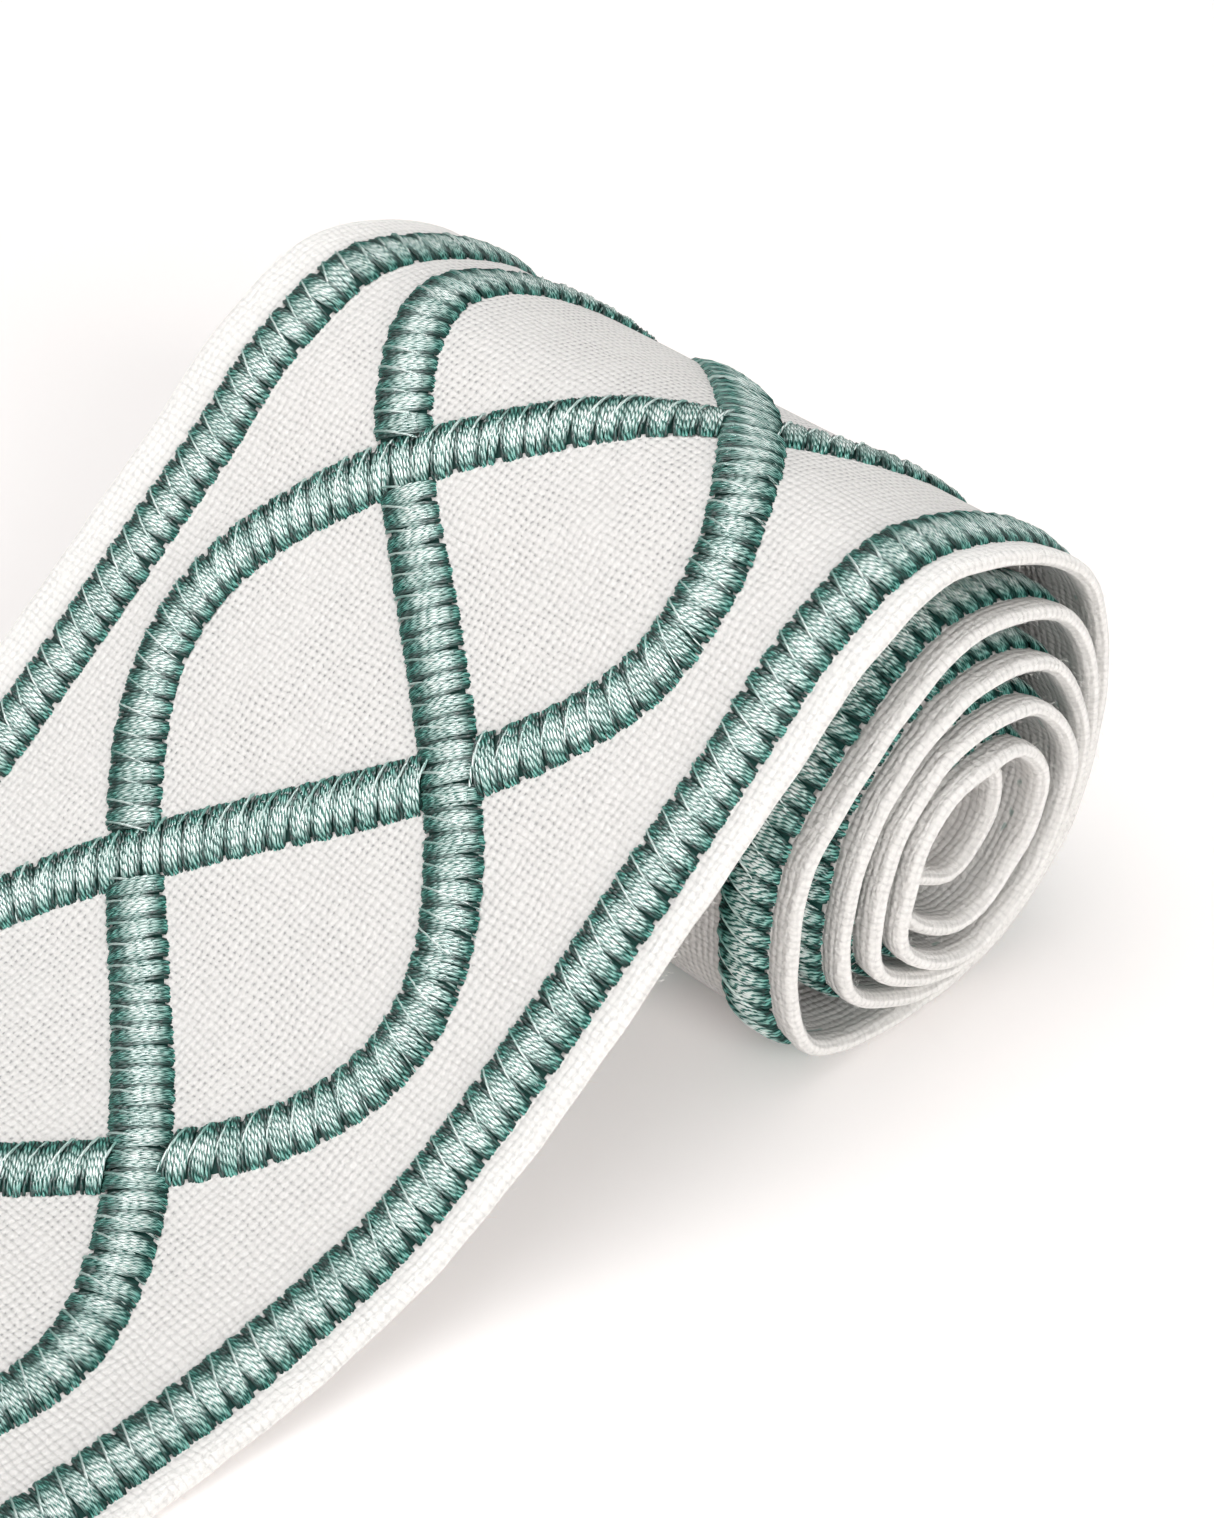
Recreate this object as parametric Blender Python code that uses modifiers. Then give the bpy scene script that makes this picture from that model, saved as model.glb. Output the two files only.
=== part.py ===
# Embroidered tape trim: a linen tape, wound into a loose roll with its loose end running down to the surface.
# Satin-stitch borders run along both edges, and a plait of three satin-stitch strands fills the middle.
import math

import bmesh
import bpy
import numpy as np
from mathutils import Vector

# Sizes are in millimetres and are turned into metres where the points are placed.
MM = 0.001

# The linen tape, with its edges folded to the back and rounded.
TAPE_WIDTH = 89.0
TAPE_THICK = 1.0
RIM_ROUND = 0.35

# The straight borders, one along each edge, just clear of the cloth.
BORDER_NEAR_INSET = 2.9
BORDER_FAR_INSET = 5.0
BORDER_WIDTH = 6.7
BORDER_THICK = 0.6
BORDER_GAP = 0.3

# The plait in the middle. It is a little thinner than the borders, so the roll rests on the borders.
PLAIT_STRANDS = 3
PLAIT_WIDTH = 6.6
PLAIT_THICK = 0.45
PLAIT_GAP = 0.45
PLAIT_REACH = 26.0
PLAIT_REPEAT = 140.0
PLAIT_ROW = 5.0
CROSSING_GAP = 0.45
CUT_END_GAP = 0.8

# A band of stitches is lower at its two sides than along its middle.
BAND_COLUMNS = (-1.0, 0.0, 1.0)
BAND_SIDE_HEIGHT = 0.5

# The roll: one row for each turn, starting at the top and going round by the right.
# The first column is how far that turn is pushed out towards the near side at its start.
# The others are the distances from the roll's axis to the middle of the cloth.
# push, top, top_right, right, low_right, bottom, low_left, left, top_left
ROLL_TURNS = (
    (0.0, 26.1, 25.0, 21.8, 21.8, 23.0, 26.9, 21.0, 16.8),
    (1.2, 18.9, 20.6, 19.2, 19.3, 20.7, 20.5, 14.8, 12.6),
    (2.4, 13.6, 16.0, 16.6, 16.8, 18.4, 17.3, 11.6, 9.6),
    (3.6, 9.8, 11.8, 13.5, 14.1, 16.1, 14.3, 8.9, 6.9),
    (4.8, 6.4, 7.6, 9.2, 10.8, 13.4, 11.5, 6.3, 4.2),
    (1.0, 3.5, 4.6, 6.0, 6.9, 8.5, 8.2, 3.4, 1.6),
)
DIRECTIONS = 8
TURNS_WOUND = 5.65

# The loose end, from its cut end on the surface up to the roll.
# x from the roll's axis, height of the middle of the cloth
TAIL_STATIONS = (
    (-156.0, 0.5),
    (-140.0, 0.5),
    (-124.0, 0.5),
    (-108.0, 0.5),
    (-96.0, 1.0),
    (-85.0, 2.3),
    (-74.0, 4.6),
    (-64.0, 8.1),
    (-55.0, 13.3),
    (-46.0, 19.9),
    (-36.0, 27.9),
    (-24.0, 37.4),
    (-13.0, 46.5),
)

# How finely the route is followed.
FINE_STEPS = 24
LONGEST_STATION = 9.0
SHORTEST_STEP = 0.5
LARGEST_SAG = 0.1

# Colour, roughness and metallic value of each material.
LINEN = ((0.80, 0.78, 0.75), 0.95, 0.0)
TEAL_THREAD = ((0.115, 0.351, 0.292), 0.45, 0.0)

FACE_HEIGHT = TAPE_THICK / 2
BORDER_BASE = FACE_HEIGHT + BORDER_GAP
PLAIT_BASE = FACE_HEIGHT + PLAIT_GAP
ROLL_LOWEST = BORDER_BASE + BORDER_THICK
AXIS_HEIGHT = ROLL_TURNS[0][5] + ROLL_LOWEST


def clear_scene():
    for old in list(bpy.data.objects):
        bpy.data.objects.remove(old, do_unlink=True)


def roll_stations():
    """The middle of the cloth around the roll, eight points for each turn, as x, y push and height."""
    stations = []
    pushes = [turn[0] for turn in ROLL_TURNS]
    for step in range(int(TURNS_WOUND * DIRECTIONS) + 1):
        turn, direction = divmod(step, DIRECTIONS)
        distance = ROLL_TURNS[turn][1 + direction]
        angle = math.radians(90.0 - 360.0 * direction / DIRECTIONS)
        push = float(np.interp(step / DIRECTIONS, range(len(pushes)), pushes))
        stations.append((distance * math.cos(angle), push, AXIS_HEIGHT + distance * math.sin(angle)))
    return stations


def smooth_line(points):
    """A smooth line through the points, each stretch cut into the same number of fine steps."""
    pts = np.array(points)
    padded = np.vstack([2 * pts[0] - pts[1], pts, 2 * pts[-1] - pts[-2]])
    line = []
    for i in range(len(pts) - 1):
        before, start, end, after = padded[i : i + 4]
        for t in np.arange(FINE_STEPS) / FINE_STEPS:
            line.append(
                0.5
                * (
                    2 * start
                    + (end - before) * t
                    + (2 * before - 5 * start + 4 * end - after) * t**2
                    + (3 * start - before - 3 * end + after) * t**3
                )
            )
    line.append(pts[-1])
    return np.array(line)


class Route:
    """The way that the cloth takes, measured in millimetres along it from the cut end."""

    def __init__(self):
        tail = [(x, 0.0, z) for x, z in TAIL_STATIONS]
        line = smooth_line(tail + roll_stations())
        first_of_roll = (len(tail) - 1) * FINE_STEPS
        line[:first_of_roll, 2] = np.maximum(line[:first_of_roll, 2], FACE_HEIGHT)
        line[first_of_roll:, 2] = np.maximum(line[first_of_roll:, 2], ROLL_LOWEST)
        flat = line[:, [0, 2]]
        steps = np.linalg.norm(np.diff(flat, axis=0), axis=1)
        self.line = line
        self.along = np.concatenate([[0.0], np.cumsum(steps)])
        self.length = float(self.along[-1])
        self.roll_start = float(self.along[first_of_roll])
        self.heading = np.gradient(flat, self.along, axis=0)

    def place(self, along, across, height):
        """A point at a distance along the tape, across it from its near edge, and above its middle."""
        x, push, z = (np.interp(along, self.along, self.line[:, i]) for i in range(3))
        ahead_x, ahead_z = (np.interp(along, self.along, self.heading[:, i]) for i in range(2))
        size = math.hypot(ahead_x, ahead_z)
        x -= height * ahead_z / size
        z += height * ahead_x / size
        return Vector((x, across - push, z)) * MM

    def stations(self):
        """Distances along the tape, closer together where it bends more."""
        flat = self.line[:, [0, 2]]
        chosen = [0]
        while chosen[-1] < len(flat) - 1:
            start = chosen[-1]
            end = start + 1
            while end + 1 < len(flat):
                chord = flat[end + 1] - flat[start]
                span = np.linalg.norm(chord)
                offsets = flat[start + 1 : end + 1] - flat[start]
                sag = np.abs(offsets[:, 0] * chord[1] - offsets[:, 1] * chord[0]).max() / span
                if sag > LARGEST_SAG or span > LONGEST_STATION:
                    break
                end += 1
            chosen.append(end)
        return [float(self.along[i]) for i in chosen]

    def stations_between(self, start, end, longest):
        """The stations of one stretch, its ends included, none further apart than the longest step."""
        inside = [s for s in self.stations() if start + SHORTEST_STEP < s < end - SHORTEST_STEP]
        bounds = [start, *inside, end]
        picked = [start]
        for low, high in zip(bounds, bounds[1:]):
            parts = math.ceil((high - low) / longest)
            picked += [low + (high - low) * (i + 1) / parts for i in range(parts)]
        return picked


def make_material(name, look):
    colour, roughness, metallic = look
    material = bpy.data.materials.new(name)
    material.use_nodes = True
    shader = material.node_tree.nodes["Principled BSDF"]
    shader.inputs["Base Color"].default_value = (*colour, 1.0)
    shader.inputs["Roughness"].default_value = roughness
    shader.inputs["Metallic"].default_value = metallic
    material.diffuse_color = (*colour, 1.0)
    return material


def make_sheet(name, rows, collection, origin, look):
    """An open sheet from rows of points, each row running across, with the embroidered side out."""
    mesh = bpy.data.meshes.new(name)
    columns = len(rows[0])
    shape = bmesh.new()
    bmesh.ops.create_grid(shape, x_segments=columns - 1, y_segments=len(rows) - 1)
    shape.verts.ensure_lookup_table()
    for index, vert in enumerate(shape.verts):
        row, column = divmod(index, columns)
        vert.co = rows[row][column]
    bmesh.ops.reverse_faces(shape, faces=shape.faces)
    shape.to_mesh(mesh)
    shape.free()
    mesh.shade_smooth()
    sheet = bpy.data.objects.new(name, mesh)
    sheet.data.materials.append(make_material(name, look))
    sheet.parent = origin
    collection.objects.link(sheet)
    return sheet


def make_ground(route, collection, origin):
    """The linen tape itself, one sheet from the cut end to the inner end of the roll."""
    rows = [
        [route.place(along, across, 0.0) for across in (0.0, TAPE_WIDTH)]
        for along in route.stations()
    ]
    ground = make_sheet("ground_tape", rows, collection, origin, LINEN)
    cloth = ground.modifiers.new("cloth_thickness", "SOLIDIFY")
    cloth.thickness = TAPE_THICK * MM
    cloth.offset = 0.0
    cloth.use_even_offset = True
    rims = ground.modifiers.new("rounded_rims", "BEVEL")
    rims.width = RIM_ROUND * MM
    rims.segments = 1
    rims.limit_method = "ANGLE"
    rims.angle_limit = math.radians(50)
    return ground


def thicken_band(band, thickness):
    """Raises a flat band of stitches, highest along its middle."""
    middle = band.vertex_groups.new(name="stitch_height")
    for vert in band.data.vertices:
        centre = vert.index % len(BAND_COLUMNS) == len(BAND_COLUMNS) // 2
        middle.add([vert.index], 1.0 if centre else BAND_SIDE_HEIGHT, "REPLACE")
    padding = band.modifiers.new("stitch_height", "SOLIDIFY")
    padding.thickness = thickness * MM
    padding.offset = 1.0
    padding.vertex_group = "stitch_height"


def make_border(route, name, centre, collection, origin):
    """A straight line of satin stitch that follows one edge of the tape all the way."""
    rows = []
    for along in route.stations():
        within = min(max(along, CUT_END_GAP), route.length - CUT_END_GAP)
        rows.append(
            [
                route.place(within, centre + side * BORDER_WIDTH / 2, BORDER_BASE)
                for side in BAND_COLUMNS
            ]
        )
    border = make_sheet(name, rows, collection, origin, TEAL_THREAD)
    thicken_band(border, BORDER_THICK)
    return border


def plait_across(along, strand):
    """How far across the tape a strand's middle lies, and its slope there."""
    turn = 2 * math.pi / PLAIT_REPEAT
    angle = turn * along + 2 * math.pi * strand / PLAIT_STRANDS
    return TAPE_WIDTH / 2 + PLAIT_REACH * math.sin(angle), PLAIT_REACH * turn * math.cos(angle)


def strand_row(route, along, strand, cut_at=None):
    """One row of points square across a strand, or slid along it to the tape's cut end."""
    across, slope = plait_across(along, strand)
    scale = 1 / math.hypot(1.0, slope)
    row = []
    for side in BAND_COLUMNS:
        offset = side * PLAIT_WIDTH / 2
        point_along = along - offset * slope * scale
        point_across = across + offset * scale
        if cut_at is not None:
            point_across += (cut_at - point_along) * slope
            point_along = cut_at
        row.append(route.place(point_along, point_across, PLAIT_BASE))
    return row


def make_strand_piece(route, name, strand, start, end, collection, origin):
    """A stretch of a strand between the two crossings where it runs under another."""
    rows = []
    slope = plait_across(max(start, CUT_END_GAP), strand)[1]
    reach = PLAIT_WIDTH / 2 * abs(slope) / math.hypot(1.0, slope)
    if start < CUT_END_GAP + reach:
        start = CUT_END_GAP + reach + PLAIT_GAP
        rows.append(strand_row(route, start, strand, cut_at=CUT_END_GAP))
    for along in route.stations_between(start, end, PLAIT_ROW):
        rows.append(strand_row(route, along, strand))
    piece = make_sheet(name, rows, collection, origin, TEAL_THREAD)
    thicken_band(piece, PLAIT_THICK)
    return piece


def make_plait(route, collection, origin):
    """Three strands that pass over and under each other, along the loose end and the first turn."""
    half = PLAIT_REPEAT / 2
    plait_end = route.roll_start + first_turn_length(route)
    crossing_phase = 1 / 12
    for strand in range(PLAIT_STRANDS):
        letter = "abc"[strand]
        start_of_strand = PLAIT_REPEAT * (crossing_phase - strand / PLAIT_STRANDS)
        slope = plait_across(start_of_strand, strand)[1]
        clear = (PLAIT_WIDTH / 2 + CROSSING_GAP) / math.hypot(1.0, slope)
        number = 0
        under = start_of_strand - half
        while under < plait_end:
            start = under + clear
            end = under + half - clear
            under += half
            if end < CUT_END_GAP + PLAIT_WIDTH:
                continue
            number += 1
            name = f"plait_strand_{letter}_{number}"
            make_strand_piece(route, name, strand, start, end, collection, origin)


def first_turn_length(route):
    """Length of the cloth's first full turn, the only one whose middle can be seen."""
    end_of_turn = (len(TAIL_STATIONS) + DIRECTIONS) * FINE_STEPS
    return float(route.along[end_of_turn]) - route.roll_start


def centre_on_base(collection, origin):
    """Moves the whole piece so that the middle of its base is the origin."""
    bpy.context.view_layer.update()
    graph = bpy.context.evaluated_depsgraph_get()
    corners = []
    for piece in collection.objects:
        if piece.type == "MESH":
            shape = piece.evaluated_get(graph)
            corners += [piece.matrix_world @ Vector(corner) for corner in shape.bound_box]
    corners = np.array(corners)
    low = corners.min(axis=0)
    high = corners.max(axis=0)
    origin.location -= Vector(((low[0] + high[0]) / 2, (low[1] + high[1]) / 2, low[2]))


def main():
    clear_scene()
    collection = bpy.data.collections.new("embroidered_tape_trim")
    bpy.context.scene.collection.children.link(collection)
    origin = bpy.data.objects.new("roll_axis_foot", None)
    collection.objects.link(origin)
    route = Route()
    make_ground(route, collection, origin)
    near = BORDER_NEAR_INSET + BORDER_WIDTH / 2
    far = TAPE_WIDTH - BORDER_FAR_INSET - BORDER_WIDTH / 2
    make_border(route, "satin_border_near", near, collection, origin)
    make_border(route, "satin_border_far", far, collection, origin)
    make_plait(route, collection, origin)
    centre_on_base(collection, origin)


main()
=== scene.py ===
# %% [markdown]
# # An embroidered tape trim
#
# This lesson dresses one object: a linen tape about 89 mm wide, wound into a loose roll, with satin-stitch
# borders and a plait of three satin-stitch strands down its middle. A factory weaves the tape flat,
# stitches it flat and rolls it up last. The lesson works in the same order: every piece is made flat, in
# millimetres along and across the tape, and one small group of Geometry Nodes then rolls it up along the
# tape's own route.

import math

import bpy
import numpy as np
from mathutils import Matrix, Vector


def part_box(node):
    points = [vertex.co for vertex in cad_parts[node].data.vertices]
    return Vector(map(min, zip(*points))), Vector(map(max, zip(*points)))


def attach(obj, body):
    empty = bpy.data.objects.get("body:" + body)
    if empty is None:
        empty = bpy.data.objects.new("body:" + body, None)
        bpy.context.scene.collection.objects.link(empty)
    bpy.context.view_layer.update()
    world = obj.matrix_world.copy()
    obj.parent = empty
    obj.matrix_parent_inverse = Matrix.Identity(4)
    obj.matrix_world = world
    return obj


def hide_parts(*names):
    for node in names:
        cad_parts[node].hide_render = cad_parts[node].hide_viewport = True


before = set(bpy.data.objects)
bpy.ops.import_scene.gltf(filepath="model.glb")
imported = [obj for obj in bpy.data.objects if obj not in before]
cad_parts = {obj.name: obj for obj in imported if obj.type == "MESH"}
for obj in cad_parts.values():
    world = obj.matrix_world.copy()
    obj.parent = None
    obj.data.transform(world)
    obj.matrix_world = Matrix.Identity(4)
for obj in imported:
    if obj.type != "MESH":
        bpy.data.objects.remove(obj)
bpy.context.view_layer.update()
MM = 0.001
BODY = "root"

# %% [markdown]
# ## The tape's sizes
#
# These are the sizes a weaver and an embroiderer would write down. They are the same ones that the solids
# were made from, so that each finished piece sits where its solid does.

# %% Sizes
TAPE_WIDTH = 89.0
TAPE_THICK = 1.0
BORDER_NEAR_INSET = 2.9
BORDER_FAR_INSET = 5.0
BORDER_WIDTH = 6.7
PLAIT_STRANDS = 3
PLAIT_WIDTH = 6.6
PLAIT_REACH = 26.0
PLAIT_REPEAT = 140.0
CROSSING_GAP = 0.45
CUT_END_GAP = 0.8
FACE_HEIGHT = TAPE_THICK / 2
STITCH_TOP = 1.4
AXIS_HEIGHT = 24.4

# %% [markdown]
# ## The route of the tape
#
# Seen from its edge, the tape is a line: flat on the table, up in a soft S, over the top of the roll and
# then round and round inwards. A table of a few stations, joined by a smooth line, gives such a line. The
# roll has eight stations a turn, each a distance from the roll's axis, because the eye judges a roll by
# the gaps between its turns. Each turn also stands out a little further at the near side, which is what a
# loosely wound tape does.

# %% Stations of the route
# push, top, top_right, right, low_right, bottom, low_left, left, top_left
ROLL_TURNS = (
    (0.0, 26.1, 25.0, 21.8, 21.8, 23.0, 26.9, 21.0, 16.8),
    (1.2, 18.9, 20.6, 19.2, 19.3, 20.7, 20.5, 14.8, 12.6),
    (2.4, 13.6, 16.0, 16.6, 16.8, 18.4, 17.3, 11.6, 9.6),
    (3.6, 9.8, 11.8, 13.5, 14.1, 16.1, 14.3, 8.9, 6.9),
    (4.8, 6.4, 7.6, 9.2, 10.8, 13.4, 11.5, 6.3, 4.2),
    (1.0, 3.5, 4.6, 6.0, 6.9, 8.5, 8.2, 3.4, 1.6),
)
DIRECTIONS = 8
TURNS_WOUND = 5.65
# x from the roll's axis, height of the middle of the cloth
TAIL_STATIONS = (
    (-156.0, 0.5),
    (-140.0, 0.5),
    (-124.0, 0.5),
    (-108.0, 0.5),
    (-96.0, 1.0),
    (-85.0, 2.3),
    (-74.0, 4.6),
    (-64.0, 8.1),
    (-55.0, 13.3),
    (-46.0, 19.9),
    (-36.0, 27.9),
    (-24.0, 37.4),
    (-13.0, 46.5),
)
FINE_STEPS = 24


def roll_stations():
    """Places on the roll, from its top round and round inwards."""
    stations = []
    pushes = [turn[0] for turn in ROLL_TURNS]
    for step in range(int(TURNS_WOUND * DIRECTIONS) + 1):
        turn, direction = divmod(step, DIRECTIONS)
        distance = ROLL_TURNS[turn][1 + direction]
        angle = math.radians(90.0 - 360.0 * direction / DIRECTIONS)
        push = float(np.interp(step / DIRECTIONS, range(len(pushes)), pushes))
        stations.append((distance * math.cos(angle), -push, AXIS_HEIGHT + distance * math.sin(angle)))
    return stations


def smooth_line(points):
    """A smooth line through all the points."""
    pts = np.array(points)
    padded = np.vstack([2 * pts[0] - pts[1], pts, 2 * pts[-1] - pts[-2]])
    line = []
    for i in range(len(pts) - 1):
        before, start, end, after = padded[i : i + 4]
        slope = end - before
        bend = 2 * before - 5 * start + 4 * end - after
        twist = 3 * start - before - 3 * end + after
        for t in np.arange(FINE_STEPS) / FINE_STEPS:
            line.append(0.5 * (2 * start + slope * t + bend * t**2 + twist * t**3))
    line.append(pts[-1])
    return np.array(line)


tail = [(x, 0.0, z) for x, z in TAIL_STATIONS]
route_line = smooth_line(tail + roll_stations())
roll_begins = (len(tail) - 1) * FINE_STEPS
route_line[:roll_begins, 2] = np.maximum(route_line[:roll_begins, 2], FACE_HEIGHT)
route_line[roll_begins:, 2] = np.maximum(route_line[roll_begins:, 2], STITCH_TOP)
steps = np.linalg.norm(np.diff(route_line[:, [0, 2]], axis=0), axis=1)
route_along = np.concatenate([[0.0], np.cumsum(steps)])
TAPE_LENGTH = float(route_along[-1])
FIRST_TURN_END = float(route_along[(len(tail) + DIRECTIONS) * FINE_STEPS])
print(f"tape: {TAPE_LENGTH:.0f} mm long, first turn ends at {FIRST_TURN_END:.0f} mm")

# %% [markdown]
# The route becomes a plain poly curve. It is a guide, as a seam line drawn on paper is, and it is taken
# away at the end. The solid of the tape says where to lay it: its cut end is the lowest X and its far edge
# the highest Y.

# %% The guide curve
tape_low, tape_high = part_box("ground_tape")
SHIFT = np.array([tape_low[0] / MM - TAIL_STATIONS[0][0], tape_high[1] / MM - TAPE_WIDTH, 0.0])


def make_route_guide():
    curve = bpy.data.curves.new("tape_route", "CURVE")
    curve.dimensions = "3D"
    spline = curve.splines.new("POLY")
    spline.points.add(len(route_line) - 1)
    for point, place in zip(spline.points, route_line + SHIFT):
        point.co = (*(place * MM), 1.0)
    guide = bpy.data.objects.new("tape_route", curve)
    bpy.context.scene.collection.objects.link(guide)
    return guide


tape_route = make_route_guide()
print("route starts at", np.round(route_line[0] + SHIFT, 1), "mm")

# %% [markdown]
# ## A short way to write node trees
#
# Geometry Nodes and materials are usually drawn by hand. Written in a script they read best as small
# sums. `put` adds a node and joins its inputs, and `out` gives the node's first output straight away.
# `calc` is a Math node, `mix_up` a Vector Math node and `ramp` a Map Range node. `product`, `total`,
# `minus` and `tuned` stand for the Math nodes used most. Both kinds of tree use them.


# %% Helper for node trees
class NodeWriter:
    """Writes down a node tree one node at a time."""

    def join(self, socket, value):
        """Links a socket to another one, or sets it to a plain value."""
        if isinstance(value, bpy.types.NodeSocket):
            self.tree.links.new(value, socket)
        else:
            socket.default_value = value

    def put(self, kind, inputs=None, **settings):
        """Adds a node with its settings, and joins its inputs."""
        node = self.tree.nodes.new(kind)
        for key, value in settings.items():
            setattr(node, key, value)
        for key, value in (inputs or {}).items():
            self.join(node.inputs[key], value)
        return node

    def out(self, kind, inputs=None, **settings):
        """The first output of a new node."""
        return self.put(kind, inputs, **settings).outputs[0]

    def in_order(self, kind, operation, values):
        """A node whose inputs are joined in order."""
        node = self.put(kind, operation=operation)
        for socket, value in zip(node.inputs, values):
            self.join(socket, value)
        return node.outputs[0]

    def calc(self, operation, *values):
        """One Math node."""
        return self.in_order("ShaderNodeMath", operation, values)

    def mix_up(self, operation, *values):
        """One Vector Math node."""
        return self.in_order("ShaderNodeVectorMath", operation, values)

    def product(self, result, *others):
        """All the values multiplied."""
        for value in others:
            result = self.calc("MULTIPLY", result, value)
        return result

    def total(self, result, *others):
        """All the values added."""
        for value in others:
            result = self.calc("ADD", result, value)
        return result

    def minus(self, value, other):
        """One value less another."""
        return self.calc("SUBTRACT", value, other)

    def tuned(self, value, pair):
        """The value times one number, plus another."""
        return self.calc("MULTIPLY_ADD", value, *pair)

    def ramp(self, value, low, high, at_low=0.0, at_high=1.0, style="SMOOTHSTEP"):
        """Goes from one number to another while the value goes from low to high."""
        span = {"Value": value, "From Min": low, "From Max": high, "To Min": at_low, "To Max": at_high}
        return self.out("ShaderNodeMapRange", span, interpolation_type=style)

    def vector(self, x, y, z):
        """Three numbers as one vector."""
        return self.out("ShaderNodeCombineXYZ", {"X": x, "Y": y, "Z": z})

    def split(self, vector):
        """One vector as three numbers."""
        return self.put("ShaderNodeSeparateXYZ", {"Vector": vector}).outputs


# %% [markdown]
# A recipe is a Geometry Nodes tree with named inputs. `note` writes a value on every point and `read`
# reads it back later by its name, also after the point has moved.


# %% Helper for Geometry Nodes
class Recipe(NodeWriter):
    """A Geometry Nodes tree with named inputs."""

    def __init__(self, name):
        self.tree = bpy.data.node_groups.new(name, "GeometryNodeTree")
        self.tree.interface.new_socket("Geometry", in_out="OUTPUT", socket_type="NodeSocketGeometry")
        self.start = self.tree.nodes.new("NodeGroupInput")
        self.identifiers = {}

    def ask(self, name, kind, default=None):
        """Adds a named input to the tree."""
        socket = self.tree.interface.new_socket(name, in_out="INPUT", socket_type=f"NodeSocket{kind}")
        if default is not None:
            socket.default_value = default
        self.identifiers[name] = socket.identifier
        return self.given(name)

    def given(self, name):
        """The value of a named input."""
        return self.start.outputs[name]

    def scaled(self, vector, size):
        """A vector made longer or shorter."""
        return self.out("ShaderNodeVectorMath", {"Vector": vector, "Scale": size}, operation="SCALE")

    def here(self):
        """Where a point is."""
        return self.out("GeometryNodeInputPosition")

    def note(self, geometry, name, value, kind="FLOAT", domain="POINT"):
        """Writes a value on every point, to be read later on by its name."""
        mark = {"Geometry": geometry, "Name": name, "Value": value}
        return self.out("GeometryNodeStoreNamedAttribute", mark, data_type=kind, domain=domain)

    def read(self, name, kind="FLOAT"):
        """Reads a value that was noted."""
        node = self.put("GeometryNodeInputNamedAttribute", {"Name": name}, data_type=kind)
        return node.outputs["Attribute"]

    def chance(self, low, high, seed, kind="FLOAT"):
        """A random value for each point or copy, the same on every run."""
        span = {"Min": low, "Max": high, "Seed": seed}
        return self.put("FunctionNodeRandomValue", span, data_type=kind).outputs["Value"]

    def move(self, geometry, place):
        """Puts every point in a new place."""
        return self.out("GeometryNodeSetPosition", {"Geometry": geometry, "Position": place})

    def dress(self, geometry, finish):
        """Gives a geometry its material."""
        return self.out("GeometryNodeSetMaterial", {"Geometry": geometry, "Material": finish})

    def smooth(self, geometry):
        """Shades a geometry smooth."""
        return self.out("GeometryNodeSetShadeSmooth", {"Geometry": geometry, "Shade Smooth": True})

    def circle(self, sides, radius):
        """A ring to sweep along a curve."""
        ring = {"Resolution": sides, "Radius": radius}
        return self.out("GeometryNodeCurvePrimitiveCircle", ring, mode="RADIUS")

    def resample(self, curve, step):
        """The same curve with points at even steps."""
        return self.out("GeometryNodeResampleCurve", {"Curve": curve, "Length": step}, mode="LENGTH")

    def sweep(self, curve, profile, caps=True):
        """A tube with the given profile along a curve."""
        parts = {"Curve": curve, "Profile Curve": profile, "Fill Caps": caps}
        return self.out("GeometryNodeCurveToMesh", parts)

    def scatter(self, points, thing, rotation, scale):
        """A real copy of a thing at every point."""
        copies = {"Points": points, "Instance": thing, "Rotation": rotation, "Scale": scale}
        placed = self.out("GeometryNodeInstanceOnPoints", copies)
        return self.out("GeometryNodeRealizeInstances", {"Geometry": placed})

    def gather(self, *parts):
        """Several geometries as one."""
        node = self.put("GeometryNodeJoinGeometry")
        for part in parts:
            self.tree.links.new(part, node.inputs[0])
        return node.outputs[0]

    def finish(self, geometry):
        """Ends the tree."""
        end = self.tree.nodes.new("NodeGroupOutput")
        self.tree.links.new(geometry, end.inputs[0])
        return self


# %% [markdown]
# `grow` runs a recipe as a modifier and keeps the result as a plain mesh. The object that carried the
# modifier is only a seed, so it is taken away at once.


# %% Helper to run a recipe
def grow(name, recipe, mesh=None, **values):
    """What a recipe makes of a mesh, or of nothing, as a plain mesh object."""
    seed_mesh = mesh or bpy.data.meshes.new(name)
    seed = bpy.data.objects.new(name + "_seed", seed_mesh)
    bpy.context.scene.collection.objects.link(seed)
    modifier = seed.modifiers.new("recipe", "NODES")
    modifier.node_group = recipe.tree
    for key, value in values.items():
        modifier[recipe.identifiers[key.replace("_", " ")]] = value
    graph = bpy.context.evaluated_depsgraph_get()
    grown = bpy.data.meshes.new_from_object(seed.evaluated_get(graph), depsgraph=graph)
    grown.name = name
    bpy.data.objects.remove(seed)
    piece = bpy.data.objects.new(name, grown)
    bpy.context.scene.collection.objects.link(piece)
    return piece


# %% [markdown]
# ## Rolling up
#
# A flat piece is described by three numbers at each point: X along the tape, Y across it and Z above the
# middle of the cloth. Rolling up reads the route at the length X, steps out from it by Z along the route's
# own upright, and keeps Y. A curve modifier could bend a mesh too, but it thins the cloth in tight bends.
# Sampling the route at its true length keeps every stitch at its real spacing.


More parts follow.
